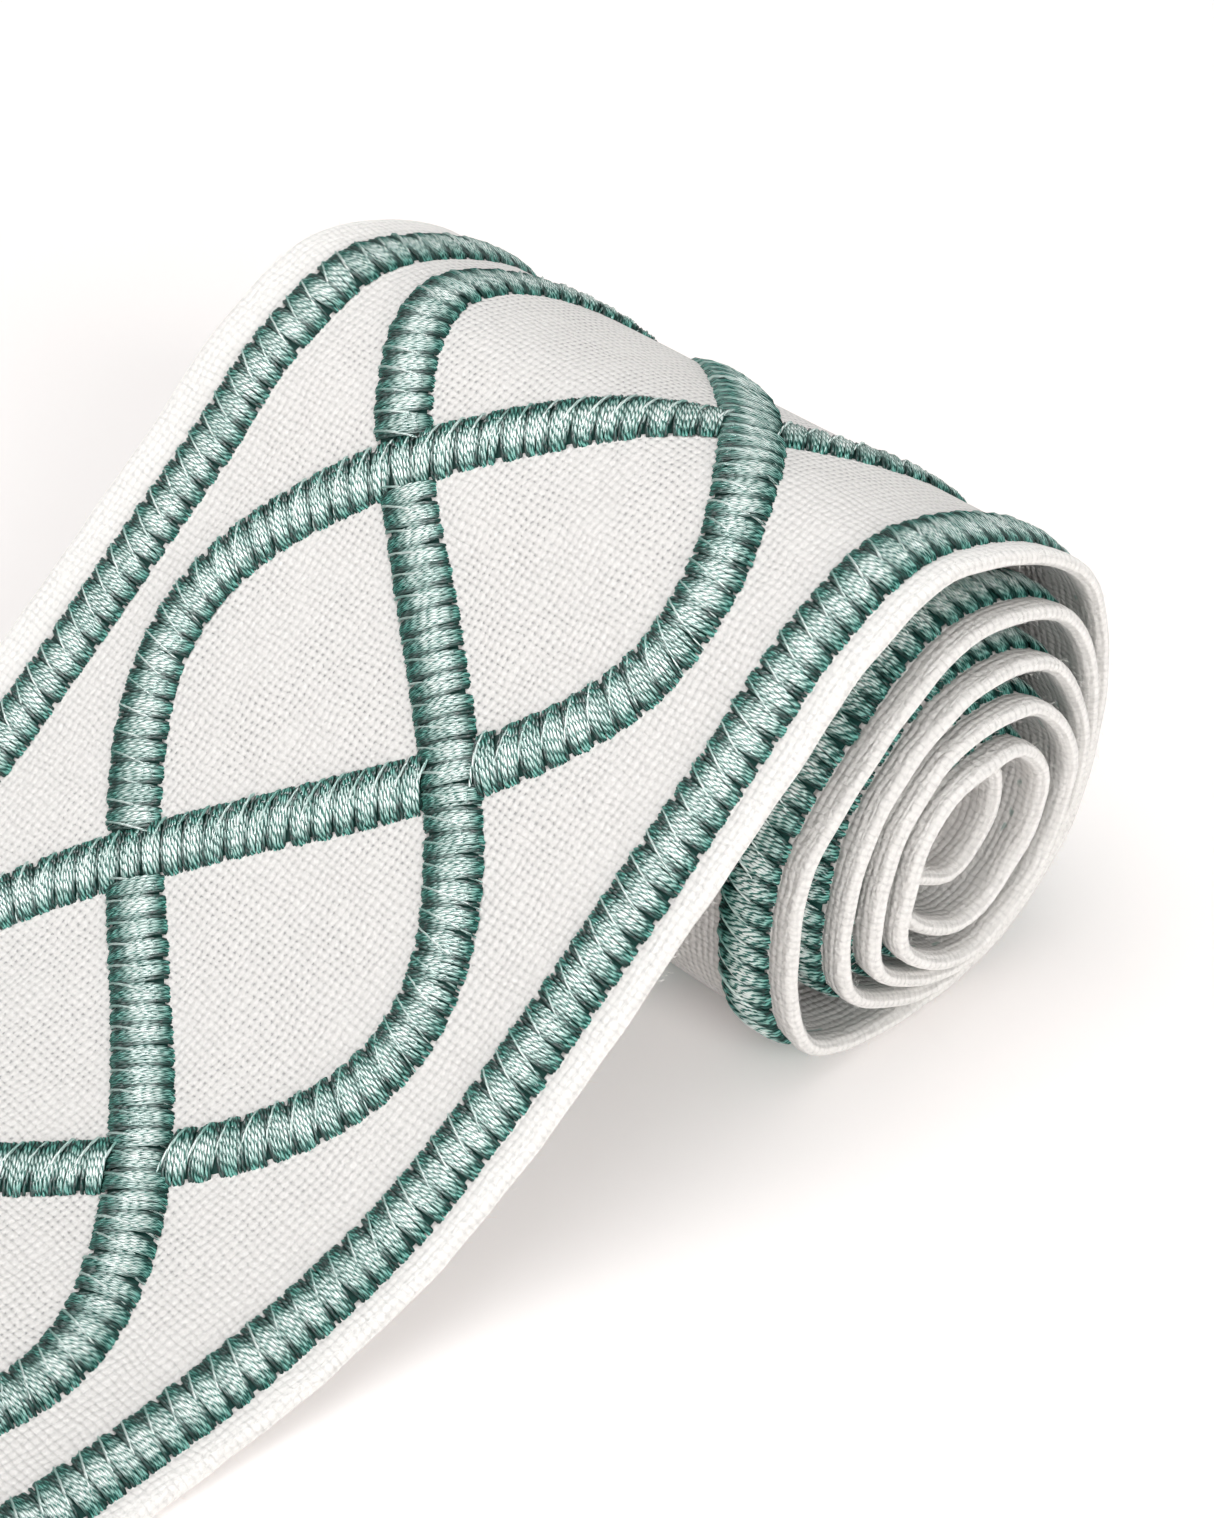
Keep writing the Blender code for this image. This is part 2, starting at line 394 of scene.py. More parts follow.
# %% The roll-up step
def roll_up(recipe, geometry, route):
    """Adds the nodes that bend a flat geometry along the route."""
    guide = recipe.put("GeometryNodeObjectInfo", {"Object": route}, transform_space="ORIGINAL")
    along, across, above = recipe.split(recipe.here())
    sample = recipe.put(
        "GeometryNodeSampleCurve",
        {"Curves": guide.outputs["Geometry"], "Length": along},
        mode="LENGTH",
        use_all_curves=True,
    )
    upright = recipe.mix_up("CROSS_PRODUCT", sample.outputs["Tangent"], (0.0, 1.0, 0.0))
    upright = recipe.mix_up("NORMALIZE", upright)
    place = recipe.mix_up("ADD", sample.outputs["Position"], recipe.scaled(upright, above))
    place = recipe.mix_up("ADD", place, recipe.vector(0.0, across, 0.0))
    x, y, z = recipe.split(place)
    return recipe.move(geometry, recipe.vector(x, y, recipe.calc("MAXIMUM", z, 0.0)))


# %% [markdown]
# ## A short way to write materials
#
# A finish is a material with one Principled shader. What is the same all over a piece is set on the shader
# itself. What changes from place to place is worked out by nodes and joined to it. Numbers for a ramp are
# kept as a row: from, to, and the results there. A pair with BY in its name is a factor and what is added.


# %% Helper for materials
class Finish(NodeWriter):
    """A material with one Principled shader."""

    def __init__(self, name):
        self.material = bpy.data.materials.new(name)
        self.material.use_nodes = True
        self.tree = self.material.node_tree
        self.shader = self.tree.nodes["Principled BSDF"]

    def set_plain(self, **values):
        """Sets what is the same all over the piece."""
        for key, value in values.items():
            self.shader.inputs[key.replace("_", " ")].default_value = value

    def mark(self, name):
        """A number that the piece carries on its points."""
        return self.put("ShaderNodeAttribute", attribute_name=name).outputs["Fac"]

    def uv(self, name):
        """A place on the piece's own flat map."""
        return self.out("ShaderNodeUVMap", uv_map=name)

    def object_place(self):
        """A place on the piece in space."""
        return self.put("ShaderNodeTexCoord").outputs["Object"]

    def blend(self, share, low, high):
        """A colour between two colours."""
        colours = {"Factor": share, "A": low, "B": high}
        return self.put("ShaderNodeMix", colours, data_type="RGBA").outputs["Result"]

    def mottle(self, where, scale, detail=2.0):
        """Soft noise between nothing and one."""
        noise = {"Vector": where, "Scale": scale, "Detail": detail}
        return self.put("ShaderNodeTexNoise", noise).outputs["Fac"]

    def paint(self, colour):
        """Joins the colour to the shader."""
        self.join(self.shader.inputs["Base Color"], colour)

    def emboss(self, height, strength, depth):
        """Joins fine relief, with its depth in millimetres, to the shader."""
        bump = self.put("ShaderNodeBump", {"Height": height, "Strength": strength, "Distance": depth * MM})
        self.join(self.shader.inputs["Normal"], bump.outputs[0])


# %% [markdown]
# ## Linen
#
# The ground is a plain weave with about twelve small holes to the centimetre. Threads this fine are a
# pattern in the material: the two sets of threads pass over and under each other in a chequer, with a hole
# at each corner. The pattern is laid out on the cloth's own UV map, in metres along and across the tape,
# so that it follows the cloth round the roll. Noise bends the rows a little, because real linen is uneven.

# %% The plain weave
LINEN_THREAD = 0.83 * MM
WEAVE_WANDER = 1.3
WANDER_NOISE = 260.0
HOLE_EDGE = (0.2, 0.85)


def weave_rows(linen, cloth_map):
    """Where a point is, counted in threads along and across, on rows that wander."""
    noise = {"Vector": cloth_map, "Scale": WANDER_NOISE, "Detail": 1.0}
    wander = linen.put("ShaderNodeTexNoise", noise).outputs["Color"]
    shifted = linen.mix_up("MULTIPLY_ADD", wander, (WEAVE_WANDER * LINEN_THREAD,) * 3, cloth_map)
    along, across, _ = linen.split(shifted)
    return linen.calc("DIVIDE", along, LINEN_THREAD), linen.calc("DIVIDE", across, LINEN_THREAD)


def thread_back(linen, count, cell):
    """The round back of a thread: one in the middle of its cell, nothing at both ends."""
    inside = linen.minus(linen.minus(count, cell), 0.5)
    return linen.calc("COSINE", linen.product(inside, math.pi))


def plain_weave(linen, cloth_map):
    """The height of the weave, how far a point is in a hole, and a chance for each cell."""
    along, across = weave_rows(linen, cloth_map)
    cell_along = linen.calc("FLOOR", along)
    cell_across = linen.calc("FLOOR", across)
    back_along = thread_back(linen, along, cell_along)
    back_across = thread_back(linen, across, cell_across)
    chequer = linen.calc("ABSOLUTE", linen.calc("MODULO", linen.total(cell_along, cell_across), 2.0))
    over = linen.calc("MULTIPLY_ADD", chequer, 2.0, -1.0)
    warp = linen.total(back_across, linen.product(back_along, over))
    weft = linen.minus(back_along, linen.product(back_across, over))
    height = linen.calc("MAXIMUM", warp, weft)
    off_threads = linen.minus(1.0, linen.calc("MAXIMUM", back_along, back_across))
    hole = linen.ramp(off_threads, *HOLE_EDGE)
    cell = linen.vector(cell_along, cell_across, 0.0)
    chance = linen.put("ShaderNodeTexWhiteNoise", {"Vector": cell}, noise_dimensions="2D").outputs["Value"]
    return height, hole, chance


# %% [markdown]
# The holes are painted as shade. Some holes are open wider than others, by chance and in patches. The
# stitching pulls the cloth tight, so they close up towards the borders, and the double cloth of the folded
# edges has none. On the back, the ends of the embroidery thread show as small dark specks under both sides
# of the near border.

# %% Holes and specks
PATCH_NOISE = 110.0
SPECK_NOISE = 800.0
SPECK_REACH = 0.3
OPEN_PATCHES = (0.36, 0.58, 0.25, 1.0)
TIGHTENING = (22.0, 33.0, 1.0, 0.3)
SPECKS_SEEN = (0.62, 0.72, 0.0, 1.0)
OPEN_BY_CHANCE = (0.8, 0.3)


def hole_share(linen, cloth_map, hole, chance, fold, from_edge):
    """How much painted shade the holes get."""
    patches = linen.ramp(linen.mottle(cloth_map, PATCH_NOISE), *OPEN_PATCHES, "LINEAR")
    off_centre = linen.calc("ABSOLUTE", linen.minus(from_edge, TAPE_WIDTH / 2))
    loose = linen.ramp(off_centre, *TIGHTENING)
    openness = linen.product(patches, linen.tuned(chance, OPEN_BY_CHANCE), loose)
    return linen.product(hole, openness, linen.minus(1.0, fold))


def speck_share(linen, cloth_map, from_edge, back):
    """How much thread shows on the back."""
    pierced = 0.0
    for line in (BORDER_NEAR_INSET, BORDER_NEAR_INSET + BORDER_WIDTH):
        off_line = linen.calc("ABSOLUTE", linen.minus(from_edge, line))
        pierced = linen.calc("MAXIMUM", pierced, linen.calc("LESS_THAN", off_line, SPECK_REACH))
    ends_seen = linen.ramp(linen.mottle(cloth_map, SPECK_NOISE, 0.0), *SPECKS_SEEN, "LINEAR")
    return linen.product(pierced, back, ends_seen)


# %% Linen material
LINEN_PALE = (0.565, 0.543, 0.52, 1.0)
LINEN_BRIGHT = (0.665, 0.643, 0.62, 1.0)
# Painted shade colour for the holes and the valleys between the threads:
LINEN_GAP_SHADE = (0.20, 0.195, 0.19, 1.0)
MARGIN_WARM = (0.715, 0.695, 0.665, 1.0)
BACK_SPECK = (0.30, 0.36, 0.33, 1.0)
FLECK_NOISE = 2600.0
SLUB_NOISE = 1300.0
FLECK_SHARE = (0.4, 0.66, 0.0, 0.8)
SHADE_BETWEEN_THREADS = (1.5, 0.5, 0.0, 0.3)
BETWEEN_BY_CHANCE = (0.7, 0.3)
WEAVE_DEPTH = 0.12
WEAVE_BY_FOLD = (-0.4, 1.0)
SLUBS_BY_FOLD = (1.4, 1.6)
RELIEF_BY_BACK = (-0.5, 1.0)


def make_linen():
    linen = Finish("linen")
    cloth_map = linen.uv("cloth_map")
    fold = linen.mark("margin")
    back = linen.mark("back")
    from_edge = linen.mark("from_near_edge")
    weave, hole, chance = plain_weave(linen, cloth_map)

    colour = linen.blend(fold, LINEN_PALE, MARGIN_WARM)
    flecks = linen.ramp(linen.mottle(cloth_map, FLECK_NOISE), *FLECK_SHARE, "LINEAR")
    colour = linen.blend(flecks, colour, LINEN_BRIGHT)
    # Painted shade in the valleys between the threads and in the holes.
    between = linen.ramp(weave, *SHADE_BETWEEN_THREADS, "LINEAR")
    between = linen.product(between, linen.tuned(chance, BETWEEN_BY_CHANCE))
    colour = linen.blend(between, colour, LINEN_GAP_SHADE)
    holes = hole_share(linen, cloth_map, hole, chance, fold, from_edge)
    colour = linen.blend(holes, colour, LINEN_GAP_SHADE)
    linen.paint(linen.blend(speck_share(linen, cloth_map, from_edge, back), colour, BACK_SPECK))

    slubs = linen.product(linen.mottle(cloth_map, SLUB_NOISE), linen.tuned(fold, SLUBS_BY_FOLD))
    height = linen.total(linen.product(weave, linen.tuned(fold, WEAVE_BY_FOLD)), slubs)
    height = linen.product(height, linen.tuned(back, RELIEF_BY_BACK))
    linen.emboss(height, 0.9, WEAVE_DEPTH)
    linen.set_plain(Roughness=0.92, Sheen_Weight=0.15, Sheen_Roughness=0.5)
    return linen.material


linen_cloth = make_linen()
print("linen thread every", LINEN_THREAD / MM, "mm")

# %% [markdown]
# ## Thread
#
# The embroidery thread is two plies twisted together, so each stitch gets slanting painted glints with
# painted shade in the grooves between them, besides a bump. The stitches carry their own map: how far along
# the thread a point is, and how far round it. A slanted stripe on that map is a twist.
#
# A line of satin stitch shines in the middle, where the threads lie flat, and falls away to deep green on
# both sides; this sheen and shade are painted into the colour. Each thread carries marks that say where a
# point is: how far to the side, how far off the middle of its bunch, and how deep in the notch between two
# bunches. The marks mix the painted colours.

# %% Twist and shine
PLY_LENGTH = 1.05 * MM
PLIES = 2.0
PLY_NOISE = 900.0
PLY_LOOSENESS = 0.9
SHINE_NOISE = 330.0
CROWN_OFFSET = 0.2
CROWN_FALL = (0.8, 0.2)
BUNCH_FALL = (0.2, 1.0, 1.0, 0.6)
SHINE_PATCHES = (0.35, 0.6, 0.6, 1.0)


def twisted_plies(thread, where):
    """One on the back of a ply, nothing in the groove between two."""
    along, around, _ = thread.split(thread.uv("thread_map"))
    loose = thread.product(thread.mottle(where, PLY_NOISE), PLY_LOOSENESS)
    turns = thread.total(thread.calc("DIVIDE", along, PLY_LENGTH), thread.product(around, PLIES), loose)
    wave = thread.calc("SINE", thread.product(turns, 2 * math.pi))
    return thread.calc("MULTIPLY_ADD", wave, 0.5, 0.5)


def shining_crown(thread, where, side):
    """Painted sheen: one along the crown of the line, less to the sides and between two bunches."""
    off_crown = thread.calc("ABSOLUTE", thread.total(side, CROWN_OFFSET))
    of_bunch = thread.ramp(thread.mark("off_middle"), *BUNCH_FALL)
    patches = thread.ramp(thread.mottle(where, SHINE_NOISE), *SHINE_PATCHES)
    return thread.product(thread.ramp(off_crown, *CROWN_FALL), of_bunch, patches)


# %% [markdown]
# Two colours are mixed, a dark one of painted shade for the grooves and a light one of painted highlight
# for the glints, and the twist chooses between them. The ends of the stitches are plain green knobs, the
# notches get painted shade in deep green, and a thread that crosses alone from bunch to bunch gets a
# painted highlight, because it stands free.

# %% Thread material
# Painted colours: the deepest green is painted shade in the notches and grooves, and it also darkens some
# threads at random; the dark teal and dim green are painted shade on the flanks and in the notches; mint,
# leaf and glint are painted sheen and glints.
THREAD_DEEP = (0.003, 0.023, 0.019, 1.0)
THREAD_TEAL = (0.022, 0.135, 0.11, 1.0)
THREAD_KNOB = (0.085, 0.29, 0.24, 1.0)
THREAD_LEAF = (0.13, 0.385, 0.325, 1.0)
THREAD_MINT = (0.20, 0.49, 0.42, 1.0)
THREAD_GLINT = (0.93, 1.0, 0.97, 1.0)
THREAD_DIM = (0.012, 0.068, 0.056, 1.0)
PLY_DEPTH = 0.07
KNOB_FROM_TO = (0.74, 0.88)
GROOVE_FALL = (0.0, 0.3, 0.85, 0.0)
GLINT_EDGE = (0.34, 0.58)
LONE_GLINT = (-0.3, 0.3, 0.0, 0.7)
DARK_BY_LOT = 0.35
GROOVE_BY_CROWN = (-0.35, 1.0)
GLINT_BY_CROWN = (0.3, -0.15)
LONE_SHINE_BY_LOT = (0.55, 0.1)
ROUGH_BY_NOTCH = (0.2, 0.27)


def make_thread():
    thread = Finish("teal_thread")
    where = thread.object_place()
    ply = twisted_plies(thread, where)
    side = thread.mark("side")
    lot = thread.mark("dye")
    notch = thread.mark("notch")
    lone = thread.mark("lone")
    crown = shining_crown(thread, where, side)
    knob = thread.ramp(side, *KNOB_FROM_TO)

    # Painted sheen and shade: lighter on the crown, darker on the flanks.
    dark = thread.blend(crown, THREAD_TEAL, THREAD_MINT)
    dark = thread.blend(thread.product(lot, DARK_BY_LOT), dark, THREAD_DEEP)
    dark = thread.blend(knob, dark, THREAD_KNOB)
    # Painted shade in the notches between bunches.
    dark = thread.blend(notch, dark, THREAD_DEEP)
    # Painted shade in the grooves between the plies, less on the crown.
    less_on_crown = thread.tuned(crown, GROOVE_BY_CROWN)
    groove = thread.product(thread.ramp(ply, *GROOVE_FALL), less_on_crown)
    dark = thread.blend(groove, dark, THREAD_DEEP)

    # The light colour is painted highlight: a glint on the crown, dimmed by painted shade in the notches,
    # and a painted highlight on a thread that crosses alone.
    light = thread.blend(crown, THREAD_LEAF, THREAD_GLINT)
    light = thread.blend(notch, light, THREAD_DIM)
    light = thread.blend(knob, light, THREAD_KNOB)
    free_shine = thread.product(lone, thread.tuned(lot, LONE_SHINE_BY_LOT))
    light = thread.blend(free_shine, light, THREAD_GLINT)

    # Painted glints on the backs of the plies, wider on the crown, and on a thread that crosses alone.
    wider_on_crown = thread.total(ply, thread.tuned(crown, GLINT_BY_CROWN))
    glint = thread.ramp(wider_on_crown, *GLINT_EDGE)
    glint = thread.calc("MAXIMUM", glint, thread.product(lone, thread.ramp(side, *LONE_GLINT)))
    thread.paint(thread.blend(glint, dark, light))
    thread.join(thread.shader.inputs["Roughness"], thread.tuned(notch, ROUGH_BY_NOTCH))
    thread.emboss(ply, 0.9, PLY_DEPTH)
    thread.set_plain(IOR=1.45, Specular_IOR_Level=0.12)
    return thread.material


# %% Padding material
# Painted shade: the padding is coloured deep green, so it shows as depth between the stitches.
PADDING_SHADE_GREEN = (0.008, 0.042, 0.035, 1.0)
PADDING_NOISE = 2500.0
PADDING_GRAIN = 0.1


def make_padding():
    """The thread under the stitches, painted deep green as shade, which only shows as depth between them.
    """
    padding = Finish("padding_shade")
    padding.set_plain(Base_Color=PADDING_SHADE_GREEN, Roughness=0.9, Specular_IOR_Level=0.05)
    padding.emboss(padding.mottle(padding.object_place(), PADDING_NOISE), 1.0, PADDING_GRAIN)
    return padding.material


teal_thread = make_thread()
padding_shade = make_padding()
print("a ply turns every", PLY_LENGTH / MM, "mm")

# %% [markdown]
# ## The linen tape
#
# The tape is one closed sheet. Its section goes across the face, round the far folded edge, back under and
# round the near one. The folded edges are fuller than the middle, because the cloth is double there. The
# cloth also puckers a little, which a few soft waves of different lengths give. The mesh is made flat and
# then rolled up.

# %% Shape of the flat tape
ALONG_STEP = 1.5
ACROSS_STEP = 1.9
MARGIN_COLUMNS = 4
RIM_POINTS = 7
RIM_REACH = 0.95
MARGIN_FULLNESS = 0.6
MARGIN_TUCK = 0.5
MARGIN_FADE = 2.0
MARGIN_CALM = 0.4


def margin_share(across):
    """One on the folded edges, nothing in the middle of the tape."""
    near = (BORDER_NEAR_INSET + MARGIN_TUCK - across) / MARGIN_FADE
    far = (across - TAPE_WIDTH + BORDER_FAR_INSET + MARGIN_TUCK) / MARGIN_FADE
    fade = np.clip(np.maximum(near, far), 0.0, 1.0)
    return fade * fade * (3.0 - 2.0 * fade)


def puckers(along, across):
    """Small waves of the cloth, in millimetres."""
    wave = 0.07 * np.sin(along / 7.3 + 1.1 * np.sin(across / 11.0))
    wave += 0.05 * np.sin(along / 3.1 + across / 5.2)
    wave += 0.04 * np.sin(along / 5.7 - across / 3.6 + 2.0)
    return wave


def rim_wobble(along):
    """The folded edges are not quite straight, in millimetres."""
    return 0.06 * np.sin(along / 2.3) + 0.04 * np.sin(along / 1.1 + 0.8) + 0.06 * np.sin(along / 6.1 + 2.0)


def tape_section():
    """The section across the tape as rows of across and above, all the way round it."""
    stops = MARGIN_COLUMNS + 1
    near_margin = np.linspace(RIM_REACH, BORDER_NEAR_INSET + MARGIN_TUCK, stops)
    far_margin = TAPE_WIDTH - np.linspace(RIM_REACH, BORDER_FAR_INSET + MARGIN_TUCK, stops)[::-1]
    columns = int(round((far_margin[0] - near_margin[-1]) / ACROSS_STEP))
    middle = np.linspace(near_margin[-1], far_margin[0], columns + 1)
    face = np.concatenate([near_margin[:-1], middle, far_margin[1:]])
    turn = np.linspace(0.0, math.pi, RIM_POINTS + 2)[1:-1]
    reach = RIM_REACH * np.sin(turn)
    far_rim = np.stack([TAPE_WIDTH - RIM_REACH + reach, FACE_HEIGHT * np.cos(turn)], axis=1)
    near_rim = np.stack([RIM_REACH - reach, -FACE_HEIGHT * np.cos(turn)], axis=1)
    top = np.stack([face, np.full(len(face), FACE_HEIGHT)], axis=1)
    back = np.stack([face[::-1], np.full(len(face), -FACE_HEIGHT)], axis=1)
    return np.vstack([top, far_rim, back, near_rim])


def flat_points(section, along):
    """Where each point of the flat sheet lies, in millimetres."""
    across, above = section.T
    fold = margin_share(across)
    outward = np.where(across < TAPE_WIDTH / 2, -1.0, 1.0) * fold
    calm = np.clip(1.0 - fold * MARGIN_CALM, 0.0, 1.0)
    lift = puckers(along[:, None], across[None, :]) * calm[None, :]
    points = np.zeros((len(along), len(section), 3))
    points[:, :, 0] = along[:, None]
    points[:, :, 1] = across[None, :] + rim_wobble(along)[:, None] * outward[None, :]
    points[:, :, 2] = above[None, :] * (1.0 + MARGIN_FULLNESS * fold)[None, :] + lift
    return points.reshape(-1, 3)


def sheet_faces(rows, ring):
    """Quads round the sheet from row to row, and one face at each cut end."""
    faces = []
    for row in range(rows - 1):
        for j in range(ring):
            k = (j + 1) % ring
            faces.append((row * ring + j, (row + 1) * ring + j, (row + 1) * ring + k, row * ring + k))
    faces.append(tuple(range(ring)))
    faces.append(tuple((rows - 1) * ring + j for j in reversed(range(ring))))
    return faces


def lay_cloth_map(mesh, section, along):
    """The cloth's own map: how far along the tape and how far round its section."""
    ring = len(section)
    around = np.concatenate([[0.0], np.cumsum(np.linalg.norm(np.diff(section, axis=0), axis=1))])
    corner_points = np.zeros(len(mesh.loops), dtype=np.int64)
    mesh.loops.foreach_get("vertex_index", corner_points)
    row_of, column_of = np.divmod(corner_points, ring)
    round_section = around[column_of]
    quads = (len(along) - 1) * ring
    corner_of_quad = np.arange(quads * 4).reshape(quads, 4)
    closing_corners = corner_of_quad[ring - 1 :: ring, 2:4].ravel()
    round_section[closing_corners] = around[-1] + np.linalg.norm(section[0] - section[-1])
    uv = np.stack([along[row_of], round_section], axis=1) * MM
    mesh.uv_layers.new(name="cloth_map").data.foreach_set("uv", uv.ravel())


# %% [markdown]
# The sheet carries three marks for its material: where the cloth is folded, how far a point is from the
# near edge, and where the back is.


# %% The linen tape, flat and then rolled up
def make_flat_tape():
    section = tape_section()
    across, above = section.T
    along = np.linspace(0.0, TAPE_LENGTH, int(round(TAPE_LENGTH / ALONG_STEP)) + 1)
    mesh = bpy.data.meshes.new("linen_tape_flat")
    mesh.from_pydata(flat_points(section, along) * MM, [], sheet_faces(len(along), len(section)))
    lay_cloth_map(mesh, section, along)
    marks = {
        "margin": margin_share(across),
        "from_near_edge": across,
        "back": (above < -0.3 * TAPE_THICK).astype(float),
    }
    for name, values in marks.items():
        mark = mesh.attributes.new(name, "FLOAT", "POINT")
        mark.data.foreach_set("value", np.tile(values, len(along)))
    mesh.shade_smooth()
    return mesh


def make_tape_recipe():
    r = Recipe("roll_up_the_tape")
    flat = r.ask("Flat piece", "Geometry")
    route = r.ask("Route", "Object")
    cloth = r.ask("Cloth", "Material")
    return r.finish(r.dress(roll_up(r, flat, route), cloth))


linen_tape = grow("linen_tape", make_tape_recipe(), make_flat_tape(), Route=tape_route, Cloth=linen_cloth)
print("linen tape:", len(linen_tape.data.polygons), "faces")

# %% [markdown]
# ## Loose fibres
#
# Linen is hairy. Short fibres stand out all round its folded edges, and they soften the outline of the
# roll. One curled hair, copied to random places round each rim, is enough. Its seed is fixed, so it grows
# the same way every time.

# %% The recipe for loose fibres
HAIR_RADIUS = 0.009
HAIR_LENGTH = 0.7
HAIR_FAN = 1.7
HAIR_TOUSLE = (1.2, 0.7, 0.7)
HAIR_CURL = ((0.0, 0.0, 0.0), (0.1, 0.0, 0.5), (0.7, 0.0, 0.7))


def one_hair(r):
    """A short curled hair with its root at the origin."""
    start, middle, end = ([part * HAIR_LENGTH * MM for part in bend] for bend in HAIR_CURL)
    curl = {"Resolution": 4, "Start": start, "Middle": middle, "End": end}
    hair = r.out("GeometryNodeCurveQuadraticBezier", curl)
    return r.sweep(hair, r.circle(3, HAIR_RADIUS * MM), caps=False)


def make_fibre_recipe():
    r = Recipe("loose_fibres_of_a_rim")
    r.ask("Nothing", "Geometry")
    route = r.ask("Route", "Object")
    length = r.ask("Tape length", "Float", 0.5)
    rim = r.ask("Rim", "Float", 0.0)
    outward = r.ask("Outward", "Float", -1.0)
    count = r.ask("Count", "Int", 1000)
    seed = r.ask("Seed", "Int", 1)
    cloth = r.ask("Cloth", "Material")

    angle = r.chance(-HAIR_FAN, HAIR_FAN, seed)
    along = r.chance(0.0, length, r.total(seed, 1))
    level = r.calc("COSINE", angle)
    lift = r.calc("SINE", angle)
    inset = r.product(r.minus(1.0, level), RIM_REACH * MM)
    across = r.minus(rim, r.product(inset, outward))
    above = r.product(lift, FACE_HEIGHT * (1.0 + MARGIN_FULLNESS) * MM)
    roots = r.out("GeometryNodePoints", {"Count": count, "Position": r.vector(along, across, above)})

    away = r.vector(0.0, r.product(level, outward), lift)
    tousle = r.chance([-reach for reach in HAIR_TOUSLE], HAIR_TOUSLE, r.total(seed, 2), "FLOAT_VECTOR")
    axes = {"Primary Axis": r.mix_up("ADD", away, tousle), "Secondary Axis": (1.0, 0.0, 0.0)}
    stand = r.out("FunctionNodeAxesToRotation", axes, primary_axis="Z", secondary_axis="X")
    size = r.chance(0.3, 1.3, r.total(seed, 3))
    hairs = r.scatter(roots, one_hair(r), stand, r.vector(size, size, size))
    return r.finish(roll_up(r, r.dress(hairs, cloth), route))


# %% Fibres round both rims
FIBRE_PALE = (0.80, 0.78, 0.75, 1.0)
FIBRES_NEAR = 3800
FIBRES_FAR = 1200


def make_fibre_finish():
    fibre = Finish("linen_fibre")
    fibre.set_plain(Base_Color=FIBRE_PALE, Roughness=0.7)
    return fibre.material


fibre_recipe = make_fibre_recipe()
linen_fibre = make_fibre_finish()
for place, rim, outward, count in (("near", 0.0, -1.0, FIBRES_NEAR), ("far", TAPE_WIDTH, 1.0, FIBRES_FAR)):
    fibres = grow(
        f"loose_fibres_{place}",
        fibre_recipe,
        Route=tape_route,
        Tape_length=TAPE_LENGTH * MM,
        Rim=rim * MM,
        Outward=outward,
        Count=count,
        Seed=20 + count,
        Cloth=linen_fibre,
    )
    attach(fibres, BODY)
    print(fibres.name, len(fibres.data.polygons), "faces")

# %% [markdown]
# ## Satin stitch
#
# A line of satin stitch is a long row of threads that lie side by side across the line, over a little
# padding. On this tape they lie in bunches of about seven: the needle pulls the ends of a bunch together,
# which leaves a notch between bunches and a soft hump on each, and one thread crosses slantwise from each
# bunch to the next.
#
# Geometry Nodes suit this well. The recipe asks for everything that makes one line differ from another.
# The line may be straight, or swing from side to side for the strands of the plait.

# %% What the satin-stitch recipe asks for
THREAD_RADIUS = 0.19
STITCH_PITCH = 0.345
BUNCH = 2.4
SATIN_INPUTS = (
    ("Nothing", "Geometry", None),
    ("Route", "Object", None),
    ("Start", "Float", 0.0),
    ("End", "Float", 0.1),
    ("Centre", "Float", 0.0),
    ("Reach", "Float", 0.0),
    ("Repeat", "Float", 0.14),
    ("Phase", "Float", 0.0),
    ("Width", "Float", 0.006),
    ("Pitch", "Float", STITCH_PITCH * MM),
    ("Thread radius", "Float", THREAD_RADIUS * MM),
    ("Foot height", "Float", 0.4 * MM),
    ("Top height", "Float", 1.6 * MM),
    ("Bunch", "Float", BUNCH * MM),
    ("Draw in", "Float", 0.16),
    ("Narrow", "Float", 0.04),
    ("Dip", "Float", 0.13),
    ("Slant", "Float", -0.12),
    ("Crossing slant", "Float", -0.32),
    ("Cut end", "Float", 0.3 * MM),
    ("Seed", "Int", 1),
    ("Thread", "Material", None),
    ("Padding", "Material", None),
)
UPRIGHT = (0.0, 0.0, 1.0)

# %% [markdown]
# The line is drawn first, and then one thread: a half ring over the padding, swept with a small five-sided
# ring. Notes on the half ring remember which side each point is on and how high it stands.

# %% The line and one thread
LINE_STEP = 0.5


def draw_line(r):
    """The middle of the line, straight or swinging from side to side."""
    ends = {"Start": r.vector(r.given("Start"), 0.0, 0.0), "End": r.vector(r.given("End"), 0.0, 0.0)}
    line = r.resample(r.put("GeometryNodeCurvePrimitiveLine", ends).outputs[0], LINE_STEP * MM)
    along, _, _ = r.split(r.here())
    turns = r.product(r.calc("DIVIDE", along, r.given("Repeat")), 2 * math.pi)
    swing = r.calc("SINE", r.total(turns, r.given("Phase")))
    across = r.total(r.given("Centre"), r.product(swing, r.given("Reach")))
    return r.move(line, r.vector(along, across, 0.0))


def draw_thread(r, half, rise):
    """One thread, in a half ring over the padding."""
    half_ring = {"Resolution": 8, "Radius": 1.0, "Start Angle": 0.0, "Sweep Angle": math.pi}
    arc = r.out("GeometryNodeCurveArc", half_ring)
    side, up, _ = r.split(r.here())
    arc = r.note(arc, "side", side)
    arc = r.note(arc, "up", up)
    arc = r.move(arc, r.vector(0.0, r.product(r.read("side"), half), r.product(r.read("up"), rise)))
    arc = r.note(arc, "along_thread", r.put("GeometryNodeSplineParameter").outputs["Length"])
    ring = r.circle(5, r.given("Thread radius"))
    ring = r.note(ring, "round_thread", r.put("GeometryNodeSplineParameter").outputs["Factor"])
    return r.sweep(arc, ring)


# %% [markdown]
# Copies of the thread are laid along the line. Each leans a little by chance, each bunch leans as one, and
# a thread that leans more is longer. The same step lays the threads that cross alone, once for each bunch.

